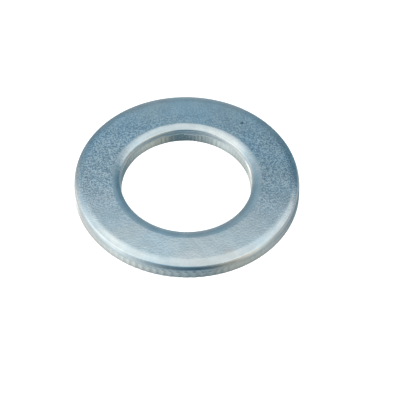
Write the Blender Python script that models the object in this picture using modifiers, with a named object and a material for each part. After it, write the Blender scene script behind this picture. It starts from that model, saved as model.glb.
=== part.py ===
"""Flat washer: one punched steel ring, zinc plated, for an M22 bolt.

The ring lies flat with its axis on +Z. The origin is the centre of its lower face, the burr side.
Punching rounds both edges of the upper face (the die roll). Below each roll the wall is burnished
straight, and below that the metal tore, so the fracture zone leans away from the burnished wall.
"""

import math

import bpy

MM = 0.001

# Driving dimensions, metres
OUTER_DIAMETER = 39.0 * MM
BORE_DIAMETER = 23.0 * MM
THICKNESS = 3.0 * MM

OUTER_ROLL_WIDTH = 2.0 * MM  # how far the rounded edge reaches in from the outer wall
OUTER_ROLL_DEPTH = 0.65 * MM
BORE_ROLL_WIDTH = 1.6 * MM
BORE_ROLL_DEPTH = 0.60 * MM
FRACTURE_HEIGHT = 1.1 * MM  # torn part of each wall, measured from the lower face
FRACTURE_LEAN = 0.05 * MM  # how far the torn wall leans back from the burnished one
EDGE_BREAK = 0.08 * MM  # tumbled corner between a wall and the lower face

TURN_STEPS = 96
ROLL_STEPS = 5

OUTER_RADIUS = OUTER_DIAMETER / 2
BORE_RADIUS = BORE_DIAMETER / 2


def clear_scene():
    for item in list(bpy.data.objects):
        bpy.data.objects.remove(item)


def zinc_plated_steel():
    material = bpy.data.materials.new("zinc_plated_steel")
    material.use_nodes = True
    shader = material.node_tree.nodes["Principled BSDF"]
    shader.inputs["Base Color"].default_value = (0.60, 0.67, 0.71, 1.0)
    shader.inputs["Metallic"].default_value = 1.0
    shader.inputs["Roughness"].default_value = 0.32
    return material


def wall_half(wall_radius, outward, roll_width, roll_depth):
    """One side of the section as (radius, height) points, from the top face down to the lower face.

    outward is +1 for the outer wall and -1 for the bore, whose metal lies on its far side.
    """
    points = []
    for step in range(ROLL_STEPS + 1):
        turn = math.pi / 2 * step / ROLL_STEPS
        inset = roll_width * (1 - math.sin(turn))
        drop = roll_depth * (1 - math.cos(turn))
        points.append((wall_radius - outward * inset, THICKNESS - drop))
    torn_radius = wall_radius - outward * FRACTURE_LEAN
    points.append((wall_radius, FRACTURE_HEIGHT))
    points.append((torn_radius, EDGE_BREAK))
    points.append((torn_radius - outward * EDGE_BREAK, 0.0))
    return points


def washer_section():
    """The closed section: down the outer wall, in along the lower face, and up the bore wall."""
    outer = wall_half(OUTER_RADIUS, 1, OUTER_ROLL_WIDTH, OUTER_ROLL_DEPTH)
    bore = wall_half(BORE_RADIUS, -1, BORE_ROLL_WIDTH, BORE_ROLL_DEPTH)
    return outer + bore[::-1]


def section_object(name, section):
    """A wire object that draws the closed section in the XZ plane, at +X."""
    vertices = [(radius, 0.0, height) for radius, height in section]
    edges = [(index, (index + 1) % len(section)) for index in range(len(section))]
    mesh = bpy.data.meshes.new(name)
    mesh.from_pydata(vertices, edges, [])
    return bpy.data.objects.new(name, mesh)


def turn_about_z(wire):
    """Spins the wire a full turn about Z and gives back the object with its finished mesh."""
    screw = wire.modifiers.new("full_turn", "SCREW")
    screw.axis = "Z"
    screw.angle = math.tau
    screw.steps = TURN_STEPS
    screw.render_steps = TURN_STEPS
    screw.use_merge_vertices = False
    screw.merge_threshold = 0.00001
    bpy.context.view_layer.update()
    evaluated = wire.evaluated_get(bpy.context.evaluated_depsgraph_get())
    turned = bpy.data.meshes.new_from_object(evaluated)
    wire.modifiers.clear()
    wire.data = turned
    return wire


def build_washer(collection):
    washer = section_object("flat_washer", washer_section())
    collection.objects.link(washer)
    turn_about_z(washer)
    washer.data.materials.clear()
    washer.data.materials.append(zinc_plated_steel())
    washer.data.shade_smooth()
    washer.data.set_sharp_from_angle(angle=math.radians(30))
    return washer


def main():
    clear_scene()
    collection = bpy.data.collections.new("flat_washer")
    bpy.context.scene.collection.children.link(collection)
    build_washer(collection)


main()
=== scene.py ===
"""Looks of the flat washer: a punched and zinc-plated steel ring on a pale studio floor.

The ring's outside, bore and thickness come from the CAD node. This script gives the ring its fine
surface: the die rolls, the burnished and torn walls, and the plating with its crystals and marks.
Its colour also holds painted light: painted glints and shade on the crystals, a painted highlight
on the torn ridges' crests, and painted shade on the bore's torn wall and at the foot of the walls.
The washer is lit by a small light tent round it, which the camera doesn't see.
"""

import math

import bpy
import numpy as np
from mathutils import Matrix, Vector


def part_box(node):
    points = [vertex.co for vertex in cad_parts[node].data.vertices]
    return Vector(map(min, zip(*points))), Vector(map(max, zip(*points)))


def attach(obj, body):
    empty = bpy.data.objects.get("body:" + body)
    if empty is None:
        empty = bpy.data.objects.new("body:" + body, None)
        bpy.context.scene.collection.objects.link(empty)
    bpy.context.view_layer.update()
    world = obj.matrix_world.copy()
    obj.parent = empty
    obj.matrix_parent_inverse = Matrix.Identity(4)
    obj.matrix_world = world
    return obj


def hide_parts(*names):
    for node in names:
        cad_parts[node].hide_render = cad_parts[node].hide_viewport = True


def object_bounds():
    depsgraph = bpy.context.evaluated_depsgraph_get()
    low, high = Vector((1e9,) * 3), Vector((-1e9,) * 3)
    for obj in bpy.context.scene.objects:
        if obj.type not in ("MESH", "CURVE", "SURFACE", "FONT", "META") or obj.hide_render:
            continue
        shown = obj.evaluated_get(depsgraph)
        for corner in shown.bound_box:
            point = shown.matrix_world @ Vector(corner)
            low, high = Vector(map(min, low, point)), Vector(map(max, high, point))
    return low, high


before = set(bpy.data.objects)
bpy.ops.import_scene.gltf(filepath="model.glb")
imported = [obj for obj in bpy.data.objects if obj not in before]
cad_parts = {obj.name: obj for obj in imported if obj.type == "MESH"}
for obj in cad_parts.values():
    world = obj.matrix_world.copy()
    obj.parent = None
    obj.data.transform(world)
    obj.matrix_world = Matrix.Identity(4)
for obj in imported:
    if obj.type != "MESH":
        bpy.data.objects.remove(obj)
CAD_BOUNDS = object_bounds()

MM = 0.001
NODE = "flat_washer"

# Each edge of the top face turns down to its wall in three bends. Outside they are a slack shoulder,
# a tight corner and a slack end, and at the bore a small quick bend, a slack shoulder and a tight
# corner. A bend: its turn in degrees, and its middle and half length in mm along the section.
OUTER_BENDS = [(19.0, 0.80, 0.80), (58.0, 1.85, 0.20), (13.0, 2.50, 0.60)]
BORE_BENDS = [(8.0, 0.20, 0.20), (25.0, 1.20, 1.10), (57.0, 1.82, 0.26)]
ROLL_UNEVENNESS = 0.04  # share of a roll's size that comes and goes round the ring
BORE_ROLL_LEAN = 0.16  # the bore's roll is this share larger on one side and smaller on the other
BORE_LEAN_SIDE = math.radians(20)  # the larger side, from the near side towards +X
OUTER_OVERSIZE = 0.07 * MM  # how far the outer wall stands outside its nominal radius
BORE_UNDERSIZE = 0.035 * MM  # how far the bore's wall stands inside its nominal radius
BORE_SHIFT = (-0.12 * MM, 0.035 * MM)  # the punch was this far off the middle, along X and Y
EDGE_BREAK = 0.05 * MM  # radius of the two lower edges

# The top face
DISH = 0.06 * MM  # how much lower it is at its outer edge than at its bore
FLATNESS = 0.003 * MM  # its unevenness
FLATNESS_WAVELENGTH = 3.5 * MM
FLATNESS_SPREAD = (0.7, 1.8)  # the waves' lengths, as shares of that one
FLATNESS_WAVES = 40
SETTLED_HEIGHT = 0.3  # dish and unevenness fade out down to this share of the thickness

# The lower part of each wall is torn, not burnished
TEAR_HEIGHT = 1.5 * MM
TEAR_WANDER = 0.15  # share of that height by which the tear's upper edge wanders
TEAR_BLEND = 0.3 * MM  # the height over which burnished metal turns into torn metal
TEAR_DEPTH = 0.015 * MM  # how far the ridges of the torn wall rise and fall
LOWER_EDGE_TORN = 0.6  # how torn the lower edge is
OUTER_FLARE = 0.04 * MM  # how far the burr at the lower edge stands out from the wall
BORE_FLARE = 0.25 * MM

# A worn place in the die left a thicker burr and deeper ridges on the near side
WORN_MIDDLE = math.radians(-8)  # from the near side towards +X
WORN_HALF_WIDTH = math.radians(46)
WORN_CORE = 0.4  # the share of that half width which is fully worn
WORN_FLARE = 0.02 * MM
WORN_DEPTH = 0.034 * MM
WORN_CALM = 0.7  # share of the ordinary ridges that is missing there
RIDGES = 93  # how many of the deeper ridges there would be all round the outer wall
RIDGE_SWAY = 1.6  # radians by which a ridge strays from its even place
RIDGE_FADE = 0.3  # share of the deeper ridges' height that comes and goes

# Slowest and fastest waves per turn of what varies round the ring
ROLL_WAVES = (1, 6)
TEAR_WAVES = (3, 24)
SWAY_WAVES = (3, 14)
FADE_WAVES = (10, 40)
OUTER_RIDGE_WAVES = (60, 200)
BORE_RIDGE_WAVES = (40, 130)
WAVES_IN_CURVE = 24  # how many waves make up one such curve

# Rows of the mesh down each stretch of the section, and steps round the ring
ROLL_ROWS = 26
WALL_ROWS = 14
CORNER_ROWS = 3
LOWER_ROWS = 5
TOP_ROWS = 12
TURN_STEPS = 960
SEED = 22


def ring_size():
    """Outer radius, bore radius and thickness of the CAD ring."""
    low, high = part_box(NODE)
    flat = np.array([v.co[:2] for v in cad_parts[NODE].data.vertices])
    return (high.x - low.x) / 2, np.hypot(flat[:, 0], flat[:, 1]).min(), high.z - low.z


OUTER_RADIUS, BORE_RADIUS, THICKNESS = ring_size()


# ---------------------------------------------------------------- ring mesh

def smooth(low, high, value):
    """0 below low, 1 above high, and an S curve between."""
    share = np.clip((value - low) / (high - low), 0, 1)
    return share * share * (3 - 2 * share)


def turn_angles():
    return np.linspace(0, math.tau, TURN_STEPS, endpoint=False)


def around(rng, slowest, fastest):
    """A random closed curve round the ring, of unit height, from waves of those counts per turn."""
    counts = rng.integers(slowest, fastest + 1, WAVES_IN_CURVE)[:, None]
    phases = rng.uniform(0, math.tau, WAVES_IN_CURVE)[:, None]
    curve = np.cos(counts * turn_angles() + phases).sum(axis=0)
    return curve / np.abs(curve).max()


def roll_curve(bends):
    """How far out from the flat face and how far down a rolled edge is, at each of its rows."""
    end = max(middle + half for turn, middle, half in bends)
    along = np.linspace(0, end, ROLL_ROWS)
    tilt = sum(turn * smooth(middle - half, middle + half, along) for turn, middle, half in bends)
    tilt = np.radians((tilt[1:] + tilt[:-1]) / 2)
    step = along[1] * MM
    out = np.concatenate([[0], np.cumsum(np.cos(tilt) * step)])
    down = np.concatenate([[0], np.cumsum(np.sin(tilt) * step)])
    return out[:, None], down[:, None]


def side_rows(wall_radius, outward, bends, size, flare, ridges, rng):
    """One side of the ring from the end of the flat top to the lower face.

    The flare and the ridges are curves round the ring. Gives arrays of radius, height, torn share and
    ridge share, one row for each point of the section.
    """
    size = size + ROLL_UNEVENNESS * around(rng, *ROLL_WAVES)
    out, down = roll_curve(bends)
    roll_radius = wall_radius - outward * (out[-1] - out) * size
    roll_height = THICKNESS - down * size
    wall_height = np.linspace(1, 0, WALL_ROWS)[1:, None] * (roll_height[-1] - EDGE_BREAK) + EDGE_BREAK
    radius = np.concatenate([roll_radius, np.full_like(wall_height, wall_radius)])
    height = np.concatenate([roll_height, wall_height])

    edge_of_tear = TEAR_HEIGHT * (1 + TEAR_WANDER * around(rng, *TEAR_WAVES))
    torn = smooth(0.0, TEAR_BLEND, edge_of_tear - height)
    burr = flare * np.clip((edge_of_tear - height) / TEAR_HEIGHT, 0, 1)
    raised = ridges * torn
    radius = radius + outward * (burr + raised)

    corner = np.linspace(0, math.pi / 2, CORNER_ROWS)[1:, None] + np.zeros(TURN_STEPS)
    radius = np.concatenate([radius, radius[-1] - outward * EDGE_BREAK * (1 - np.cos(corner))])
    height = np.concatenate([height, EDGE_BREAK * (1 - np.sin(corner))])
    torn = np.concatenate([torn, np.full_like(corner, LOWER_EDGE_TORN)])
    raised = np.concatenate([raised, np.zeros_like(corner)])
    return radius, height, torn, raised / (TEAR_DEPTH + WORN_DEPTH)


def flat_rows(start, end, height, count):
    """Rows of a flat face between two edges, without the edges themselves."""
    shares = np.linspace(0, 1, count + 2)[1:-1, None]
    radius = start + (end - start) * shares
    return radius, np.full_like(radius, height), np.zeros_like(radius), np.zeros_like(radius)


def uneven(points, rng):
    """Random gentle relief of unit height, from plane waves that cross the ring."""
    relief = np.zeros(points.shape[:2])
    for _ in range(FLATNESS_WAVES):
        heading = rng.uniform(0, math.tau)
        number = math.tau / (FLATNESS_WAVELENGTH * rng.uniform(*FLATNESS_SPREAD))
        along = points[..., 0] * math.cos(heading) + points[..., 1] * math.sin(heading)
        relief += np.cos(along * number + rng.uniform(0, math.tau))
    return relief / np.abs(relief).max()


def ring_points():
    """Points of the ring as rows by steps, how torn the metal is at each, and how high on a ridge."""
    rng = np.random.default_rng(SEED)
    angle = turn_angles()
    from_front = angle + math.pi / 2
    from_worn = np.abs((from_front - WORN_MIDDLE + math.pi) % math.tau - math.pi)
    worn = 1 - smooth(WORN_CORE * WORN_HALF_WIDTH, WORN_HALF_WIDTH, from_worn)
    flare = OUTER_FLARE + WORN_FLARE * worn
    deep = np.cos(RIDGES * angle + RIDGE_SWAY * around(rng, *SWAY_WAVES))
    deep = deep * (1 - RIDGE_FADE + RIDGE_FADE * around(rng, *FADE_WAVES))
    ordinary = (1 - WORN_CALM * worn) * around(rng, *OUTER_RIDGE_WAVES)
    ridges = TEAR_DEPTH * ordinary + WORN_DEPTH * worn * deep
    outer = side_rows(OUTER_RADIUS + OUTER_OVERSIZE, 1, OUTER_BENDS, 1.0, flare, ridges, rng)

    bore_size = 1 + BORE_ROLL_LEAN * np.cos(from_front - BORE_LEAN_SIDE)
    bore_ridges = TEAR_DEPTH * around(rng, *BORE_RIDGE_WAVES)
    bore_wall = BORE_RADIUS - BORE_UNDERSIZE
    bore = side_rows(bore_wall, -1, BORE_BENDS, bore_size, BORE_FLARE, bore_ridges, rng)

    bore_up = [rows[::-1] for rows in bore]
    lower = flat_rows(outer[0][-1], bore[0][-1], 0.0, LOWER_ROWS)
    top = flat_rows(bore[0][0], outer[0][0], THICKNESS, TOP_ROWS)
    section = zip(outer, lower, bore_up, top)
    radius, height, torn, raised = (np.concatenate(parts) for parts in section)

    points = np.stack([radius * np.cos(angle), radius * np.sin(angle), height], axis=-1)
    across = (radius - BORE_RADIUS) / (OUTER_RADIUS - BORE_RADIUS)
    for axis, shift in enumerate(BORE_SHIFT):
        points[..., axis] += shift * (1 - smooth(0.0, 1.0, across))
    upper_side = smooth(SETTLED_HEIGHT * THICKNESS, THICKNESS, height)
    points[..., 2] -= upper_side * DISH * across
    points[..., 2] -= upper_side * FLATNESS * (1 + uneven(points, rng))
    return points, torn, raised


def build_ring():
    points, torn, raised = ring_points()
    rows, steps = torn.shape
    index = np.arange(rows * steps).reshape(rows, steps)
    below, after = np.roll(index, -1, axis=0), np.roll(index, -1, axis=1)
    corners = np.stack([index, below, np.roll(below, -1, axis=1), after], axis=-1)
    mesh = bpy.data.meshes.new("washer_ring")
    mesh.from_pydata(points.reshape(-1, 3).tolist(), [], corners.reshape(-1, 4).tolist())
    for name, values in (("torn", torn), ("ridges", raised)):
        mesh.attributes.new(name, "FLOAT", "POINT").data.foreach_set("value", values.ravel())
    mesh.shade_smooth()
    ring = bpy.data.objects.new("washer_ring", mesh)
    bpy.context.scene.collection.objects.link(ring)
    return ring


# ---------------------------------------------------------------- node helper

class Graph:
    """Short names for building a node tree."""

    def __init__(self, tree):
        self.tree = tree

    def add(self, kind, settings=None, **inputs):
        node = self.tree.nodes.new(kind)
        for name, value in (settings or {}).items():
            setattr(node, name, value)
        for name, value in inputs.items():
            self.put(node.inputs[name], value)
        return node

    def put(self, socket, value):
        if isinstance(value, bpy.types.NodeSocket):
            self.tree.links.new(value, socket)
        else:
            socket.default_value = value

    def fill(self, node, values):
        for socket, value in zip(node.inputs, values):
            self.put(socket, value)
        return node.outputs[0]

    def math(self, operation, *values):
        return self.fill(self.add("ShaderNodeMath", {"operation": operation}), values)

    def remap(self, value, span, low=0.0, high=1.0):
        """The value eased from low at the start of the span to high at its end."""
        node = self.add("ShaderNodeMapRange", {"interpolation_type": "SMOOTHSTEP"})
        return self.fill(node, (value, *span, low, high))

    def blend(self, operation, share, first, second):
        """A colour mix, whose sockets are numbered as Blender lays them out."""
        node = self.add("ShaderNodeMix", {"data_type": "RGBA", "blend_type": operation})
        self.put(node.inputs[0], share)
        self.put(node.inputs[6], first)
        self.put(node.inputs[7], second)
        return node.outputs[2]

    def between(self, share, first, second):
        """A number mix."""
        node = self.add("ShaderNodeMix", {"data_type": "FLOAT"})
        self.put(node.inputs[0], share)
        self.put(node.inputs[2], first)
        self.put(node.inputs[3], second)
        return node.outputs[0]

    def shaded(self, colour, shade):
        """A colour times a grey."""
        grey = self.add("ShaderNodeCombineColor", Red=shade, Green=shade, Blue=shade)
        return self.blend("MULTIPLY", 1.0, colour, grey.outputs[0])


# ---------------------------------------------------------------- zinc plating

# The plating's noises have this many features per mm
CRYSTALS_PER_MM = 3.8
TEXTURE_PER_MM = 2.4
PATCHES_PER_MM = 0.55
POLISH_PER_MM = 0.5
TINTS_PER_MM = 0.14
NOISE_SPAN = (0.3, 0.7)  # where most of a noise's values lie
TINT_SPAN = (0.35, 0.65)

ZINC_COOL = (0.60, 0.725, 0.78, 1)
ZINC_WARM = (0.66, 0.715, 0.73, 1)
PATCH_SHADES = (0.94, 1.06)

# The crystals' shades, as shares of the zinc's own. The grain is the plating's own, but its dark and
# light specks are painted shade and painted glints of reflected light.
GRAIN_PAINTED_SHADE = (0.44, 0.54, 0.66, 1)
GRAIN_PAINTED_GLINT = (1.46, 1.38, 1.30, 1)
GLINT_BAND_MIDDLE = 4.0  # the crystals' painted glints and shade show most in a band across the ring at this y, mm
GLINT_BAND_FADE = (3.0, 17.0)  # they fade over this distance from the band's middle, mm
GLINT_BAND_LEFT = 0.06  # the share that is left of them there
FACE_STARTS = (BORE_RADIUS / MM + 1.2, BORE_RADIUS / MM + 1.8)  # where they set in by the bore, mm
FACE_ENDS = (OUTER_RADIUS / MM - 1.7, OUTER_RADIUS / MM - 0.3)  # where they weaken by the edge, mm
GLINTS_AT_EDGE = 0.3

TORN_STEEL = (0.74, 0.79, 0.78, 1)
# Painted shade: a darker copy of the torn steel for the wall inside the bore
TORN_BORE_SHADED = (0.58, 0.66, 0.65, 1)
BORE_SHADE_SPAN = (BORE_RADIUS / MM + 0.5, OUTER_RADIUS / MM - 1.5)  # from the bore's painted shade to the outer tint, mm
TORN_COVER = 0.8
CREST_HIGHLIGHT = (0.95, 0.95, 0.90, 1)  # painted highlight on the ridges' crests
HIGHLIGHT_SPAN = (-0.1, 0.7)  # ridge shares over which the painted highlight sets in
HIGHLIGHT_COVER = 0.9
SHADED_FOOT = (0.0, 1.0)  # painted shade darkens the walls towards their foot, over these heights in mm
PAINTED_FOOT_SHADE = 0.76

PIT = (9.5, 13.1, 3.0)  # mm
PIT_REACH = 0.5  # mm
PIT_SHADE = (0.08, 0.12, 0.16, 1)
PIT_COVER = 0.95
STAIN_PLACE = (7.4, -15.9, 3.0)  # mm
STAIN_REACH = 1.6  # mm
STAIN = (0.72, 0.66, 0.62, 1)
STAIN_COVER = 0.4

POLISHED_ROUGHNESS = (0.14, 0.19)
TORN_ROUGHNESS = 0.25
TEXTURE_HEIGHT = 0.02 * MM


def zinc_plate():
    material = bpy.data.materials.new("zinc_plate")
    material.use_nodes = True
    graph = Graph(material.node_tree)
    shader = material.node_tree.nodes["Principled BSDF"]
    shader.inputs["Metallic"].default_value = 1.0

    where = graph.add("ShaderNodeTexCoord").outputs["Object"]
    per_mm = graph.add("ShaderNodeVectorMath", {"operation": "SCALE"}, Vector=where, Scale=1 / MM)
    place = per_mm.outputs[0]
    split = graph.add("ShaderNodeSeparateXYZ", Vector=place)
    level = graph.add("ShaderNodeVectorMath", {"operation": "MULTIPLY"}, Vector=place)
    level.inputs[1].default_value = (1, 1, 0)
    radius = graph.add("ShaderNodeVectorMath", {"operation": "LENGTH"}, Vector=level.outputs[0])
    radius = radius.outputs["Value"]
    torn = graph.add("ShaderNodeAttribute", {"attribute_name": "torn"}).outputs["Fac"]
    ridges = graph.add("ShaderNodeAttribute", {"attribute_name": "ridges"}).outputs["Fac"]

    def noise(scale, detail, roughness=0.5):
        return graph.add("ShaderNodeTexNoise", Vector=place, Scale=scale, Detail=detail,
                         Roughness=roughness).outputs[0]

    def spot(middle, reach, cover):
        """The cover at a place on the ring, falling to 0 at its reach in mm."""
        gap = graph.add("ShaderNodeVectorMath", {"operation": "DISTANCE"})
        graph.put(gap.inputs[0], place)
        graph.put(gap.inputs[1], middle)
        return graph.math("MULTIPLY", graph.remap(gap.outputs["Value"], (0.0, reach), 1.0, 0.0), cover)

    # Painted glints and shade: the crystals' light and dark specks are strongest in a band across the
    # ring
    off_band = graph.math("ABSOLUTE", graph.math("SUBTRACT", split.outputs["Y"], GLINT_BAND_MIDDLE))
    face = graph.math("MULTIPLY", graph.remap(radius, FACE_STARTS),
                      graph.remap(radius, FACE_ENDS, 1.0, GLINTS_AT_EDGE))
    glint_band = graph.math("MULTIPLY", graph.remap(off_band, GLINT_BAND_FADE, 1.0, GLINT_BAND_LEFT), face)
    grain = graph.remap(noise(CRYSTALS_PER_MM, detail=1.0), NOISE_SPAN)
    crystals = graph.blend("MIX", grain, GRAIN_PAINTED_SHADE, GRAIN_PAINTED_GLINT)

    warmth = graph.remap(noise(TINTS_PER_MM, detail=3.0), TINT_SPAN)
    tint = graph.blend("MIX", warmth, ZINC_COOL, ZINC_WARM)
    tint = graph.blend("MULTIPLY", glint_band, tint, crystals)
    patches = graph.remap(noise(PATCHES_PER_MM, detail=3.0), NOISE_SPAN, *PATCH_SHADES)
    tint = graph.shaded(tint, patches)
    # Painted shade: the bore's torn wall, inside the hole, gets a darker copy of the torn steel
    torn_tint_with_bore_shade = graph.blend("MIX", graph.remap(radius, BORE_SHADE_SPAN), TORN_BORE_SHADED, TORN_STEEL)
    tint = graph.blend("MIX", graph.math("MULTIPLY", torn, TORN_COVER), tint, torn_tint_with_bore_shade)
    # Painted highlight on the crests of the torn ridges
    tint = graph.blend("MIX", graph.remap(ridges, HIGHLIGHT_SPAN, 0.0, HIGHLIGHT_COVER), tint, CREST_HIGHLIGHT)
    # Painted shade, darker towards the foot of the walls
    tint = graph.shaded(tint, graph.remap(split.outputs["Z"], SHADED_FOOT, PAINTED_FOOT_SHADE, 1.0))
    tint = graph.blend("MIX", spot(STAIN_PLACE, STAIN_REACH, STAIN_COVER), tint, STAIN)
    tint = graph.blend("MIX", spot(PIT, PIT_REACH, PIT_COVER), tint, PIT_SHADE)
    graph.put(shader.inputs["Base Color"], tint)

    polish = graph.remap(noise(POLISH_PER_MM, detail=4.0), NOISE_SPAN, *POLISHED_ROUGHNESS)
    graph.put(shader.inputs["Roughness"], graph.between(torn, polish, TORN_ROUGHNESS))

    texture = noise(TEXTURE_PER_MM, detail=3.0, roughness=0.6)
    bump = graph.add("ShaderNodeBump", Height=texture, Strength=1.0, Distance=TEXTURE_HEIGHT)
    graph.put(shader.inputs["Normal"], bump.outputs[0])
    return material


# ---------------------------------------------------------------- studio

VIEW_ELEVATION = math.radians(49.8)
VIEW_ROLL = math.radians(1.47)
VIEW_DISTANCE = 538 * MM
LENS = 278  # mm
SENSOR = 36  # mm
AIM_RIGHT = 2.35 * MM  # the view is centred this far right of the ring's axis and this far below it
AIM_DOWN = 1.77 * MM

FLOOR_SIZE = 4  # m
FLOOR_GAP = 0.01 * MM  # the floor is this far below the ring
FLOOR_SHADE = (0.8, 0.8, 0.8, 1)
FLOOR_GLOW = 0.8

TENT_RADIUS = 130 * MM
TENT_SEGMENTS = 96
TENT_SHADE = (0.10, 0.20, 0.27)  # light from the tent's openings
# Tints of the tent's cloth and cards
PALE = (1.00, 0.91, 0.83)
WARM = (1.00, 0.81, 0.67)
AMBER = (1.00, 0.76, 0.50)
COOL = (0.70, 0.88, 1.00)
# Lit parts of the tent: name, azimuth and elevation of the middle, half width, half height (degrees),
# how sharp the edge is, brightness and tint. Azimuth 0 is towards the camera and 90 to its right. A
# half width of 0 goes all the way round. The tent goes on below the floor, which the metal doesn't
# reflect, so the table panels stand for what the walls and the burrs see beneath them.
TENT_PANELS = [
    ("ceiling", 0, 80, 0, 25, 3.0, 0.78, PALE),
    ("left_wall", -70, 25, 35, 35, 1.5, 1.15, WARM),
    ("left_front_card", -65, -25, 35, 25, 0.7, 1.10, PALE),
    ("left_back_wall", -115, 0, 20, 80, 0.7, 0.75, WARM),
    ("right_wall", 85, 48, 60, 13, 5.0, 0.60, PALE),
    ("right_front_card", 50, 5, 30, 50, 2.0, 0.50, AMBER),
    ("right_back_wall", 90, 0, 50, 45, 5.0, 0.40, WARM),
    ("back_wall", 180, -25, 20, 40, 0.7, 0.60, PALE),
    ("back_card", -145, -50, 15, 10, 1.5, 1.30, PALE),
    ("front_valance", -45, 44, 110, 9, 0.7, 0.72, COOL),
    ("table_front", 15, -44, 120, 6, 1.5, 0.20, AMBER),
    ("table_back", 135, -57, 75, 8, 4.0, 0.50, AMBER),
    ("table_left", -100, -54, 30, 6, 5.0, 0.40, WARM),
    ("table_near", -5, -41, 30, 5, 2.0, 0.20, COOL),
    ("left_high", -140, 60, 25, 10, 1.5, 0.20, PALE),
    ("right_high", 140, 60, 25, 10, 1.5, 0.15, COOL),
]
# Dark openings, which take light away
TENT_GAPS = [
    ("mouth", 0, -24, 50, 15, 3.0, 0.15, COOL),
    ("right_back_gap", 150, 40, 15, 10, 1.5, 0.10, COOL),
    ("left_back_gap", -150, 40, 15, 10, 1.5, 0.10, WARM),
]


def studio_camera():
    toward = Vector((0, -math.cos(VIEW_ELEVATION), math.sin(VIEW_ELEVATION)))
    right = Vector((1, 0, 0))
    up = toward.cross(right)
    place = toward * VIEW_DISTANCE
    aim = right * AIM_RIGHT - up * AIM_DOWN
    camera = bpy.data.objects.new("camera", bpy.data.cameras.new("camera"))
    camera.data.lens = LENS
    camera.data.sensor_width = SENSOR
    camera.data.clip_start = 1 * MM
    camera.location = place
    facing = (aim - place).to_track_quat("-Z", "Y").to_matrix()
    camera.rotation_euler = (facing @ Matrix.Rotation(VIEW_ROLL, 3, "Z")).to_euler()
    bpy.context.scene.collection.objects.link(camera)
    bpy.context.scene.camera = camera


def studio_floor():
    """A white floor that doesn't show in the washer's reflections."""
    bpy.ops.mesh.primitive_plane_add(size=FLOOR_SIZE, location=(0, 0, CAD_BOUNDS[0][2] - FLOOR_GAP))
    floor = bpy.context.object
    floor.name = "floor"
    floor.visible_glossy = False
    material = bpy.data.materials.new("floor")
    material.use_nodes = True
    shader = material.node_tree.nodes["Principled BSDF"]
    shader.inputs["Base Color"].default_value = FLOOR_SHADE
    shader.inputs["Roughness"].default_value = 1.0
    shader.inputs["Specular IOR Level"].default_value = 0.0
    shader.inputs["Emission Color"].default_value = (1, 1, 1, 1)
    shader.inputs["Emission Strength"].default_value = FLOOR_GLOW
    floor.data.materials.append(material)


def tent_material():
    """Light that depends on the direction from the middle of the tent."""
    material = bpy.data.materials.new("light_tent")
    material.use_nodes = True
    tree = material.node_tree
    tree.nodes.clear()
    graph = Graph(tree)
    where = graph.add("ShaderNodeTexCoord").outputs["Object"]
    unit = graph.add("ShaderNodeVectorMath", {"operation": "NORMALIZE"}, Vector=where).outputs[0]
    split = graph.add("ShaderNodeSeparateXYZ", Vector=unit)
    behind = graph.math("MULTIPLY", split.outputs["Y"], -1.0)
    azimuth = graph.math("DEGREES", graph.math("ARCTAN2", split.outputs["X"], behind))
    elevation = graph.math("DEGREES", graph.math("ARCSINE", split.outputs["Z"]))

    def panel(middle, height, half_width, half_height, sharpness):
        """1 at the panel's middle, falling to 0 past its half width and half height."""
        up = graph.math("DIVIDE", graph.math("SUBTRACT", elevation, height), half_height)
        share = graph.math("MULTIPLY", up, up)
        if half_width:
            turn = graph.math("WRAP", graph.math("SUBTRACT", azimuth, middle), 180.0, -180.0)
            across = graph.math("DIVIDE", turn, half_width)
            share = graph.math("ADD", share, graph.math("MULTIPLY", across, across))
        fade = graph.math("POWER", share, sharpness)
        return graph.math("EXPONENT", graph.math("MULTIPLY", fade, -1.0))

    light = (*TENT_SHADE, 1)
    for operation, panels in (("ADD", TENT_PANELS), ("SUBTRACT", TENT_GAPS)):
        for name, *shape, brightness, tint in panels:
            colour = [brightness * part for part in tint]
            light = graph.blend(operation, panel(*shape), light, (*colour, 1))
            light.node.label = name
    no_less_than_black = graph.blend("LIGHTEN", 1.0, light, (0, 0, 0, 1))
    emission = graph.add("ShaderNodeEmission", Color=no_less_than_black, Strength=1.0)
    output = graph.add("ShaderNodeOutputMaterial")
    graph.put(output.inputs["Surface"], emission.outputs[0])
    material.cycles.emission_sampling = "NONE"
    return material


def light_tent():
    bpy.ops.mesh.primitive_uv_sphere_add(segments=TENT_SEGMENTS, ring_count=TENT_SEGMENTS // 2,
                                         radius=TENT_RADIUS)
    tent = bpy.context.object
    tent.name = "light_tent"
    tent.data.shade_smooth()
    tent.visible_camera = False
    tent.data.materials.append(tent_material())


def studio_world():
    """White all round, which is what shows beyond the floor."""
    world = bpy.data.worlds.new("studio")
    bpy.context.scene.world = world
    world.use_nodes = True
    background = world.node_tree.nodes["Background"]
    background.inputs["Color"].default_value = (1, 1, 1, 1)
    background.inputs["Strength"].default_value = 1.0


def main():
    bpy.context.scene.view_settings.view_transform = "Standard"
    studio_camera()
    studio_floor()
    light_tent()
    studio_world()
    ring = build_ring()
    ring.data.materials.append(zinc_plate())
    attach(ring, "root")
    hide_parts(NODE)
    bpy.context.view_layer.update()


main()
